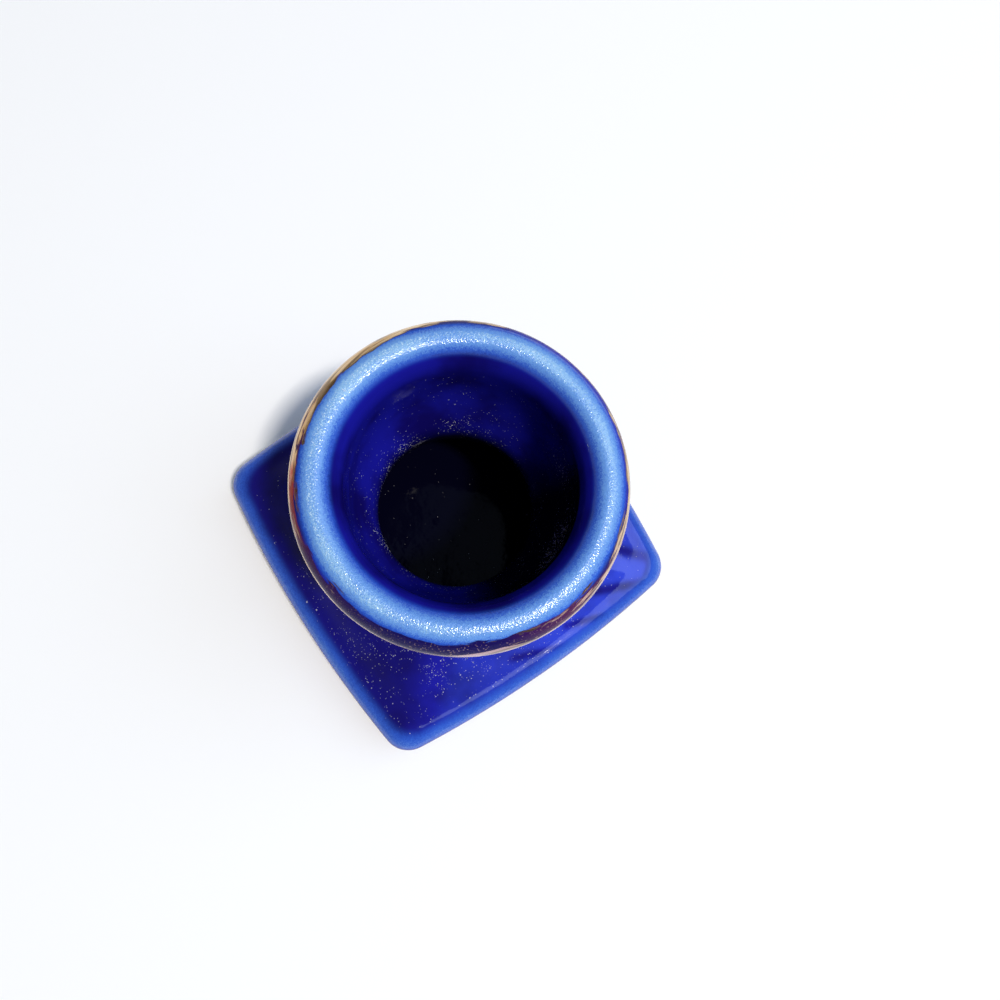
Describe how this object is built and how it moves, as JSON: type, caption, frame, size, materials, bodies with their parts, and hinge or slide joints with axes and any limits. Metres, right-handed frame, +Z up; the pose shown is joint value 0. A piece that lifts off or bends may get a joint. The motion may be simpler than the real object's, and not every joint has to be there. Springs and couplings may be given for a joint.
{
  "type": "bud vase",
  "caption": "Small glazed ceramic bud vase with a wide rolled lip, a drawn-in neck and a square plinth cast in one with it.",
  "frame": {"origin": "middle of the underside that the vase stands on", "axes": "+Z up through the mouth, X and Y square to the plinth's sides"},
  "size_m": [0.09, 0.09, 0.073],
  "materials": {
    "cobalt_glaze": "deep cobalt blue gloss glaze that breaks to sky blue over the lip, with a worn gilt line round the mouth"
  },
  "bodies": {
    "root": {"vase": "cobalt_glaze"}
  },
  "joints": []
}
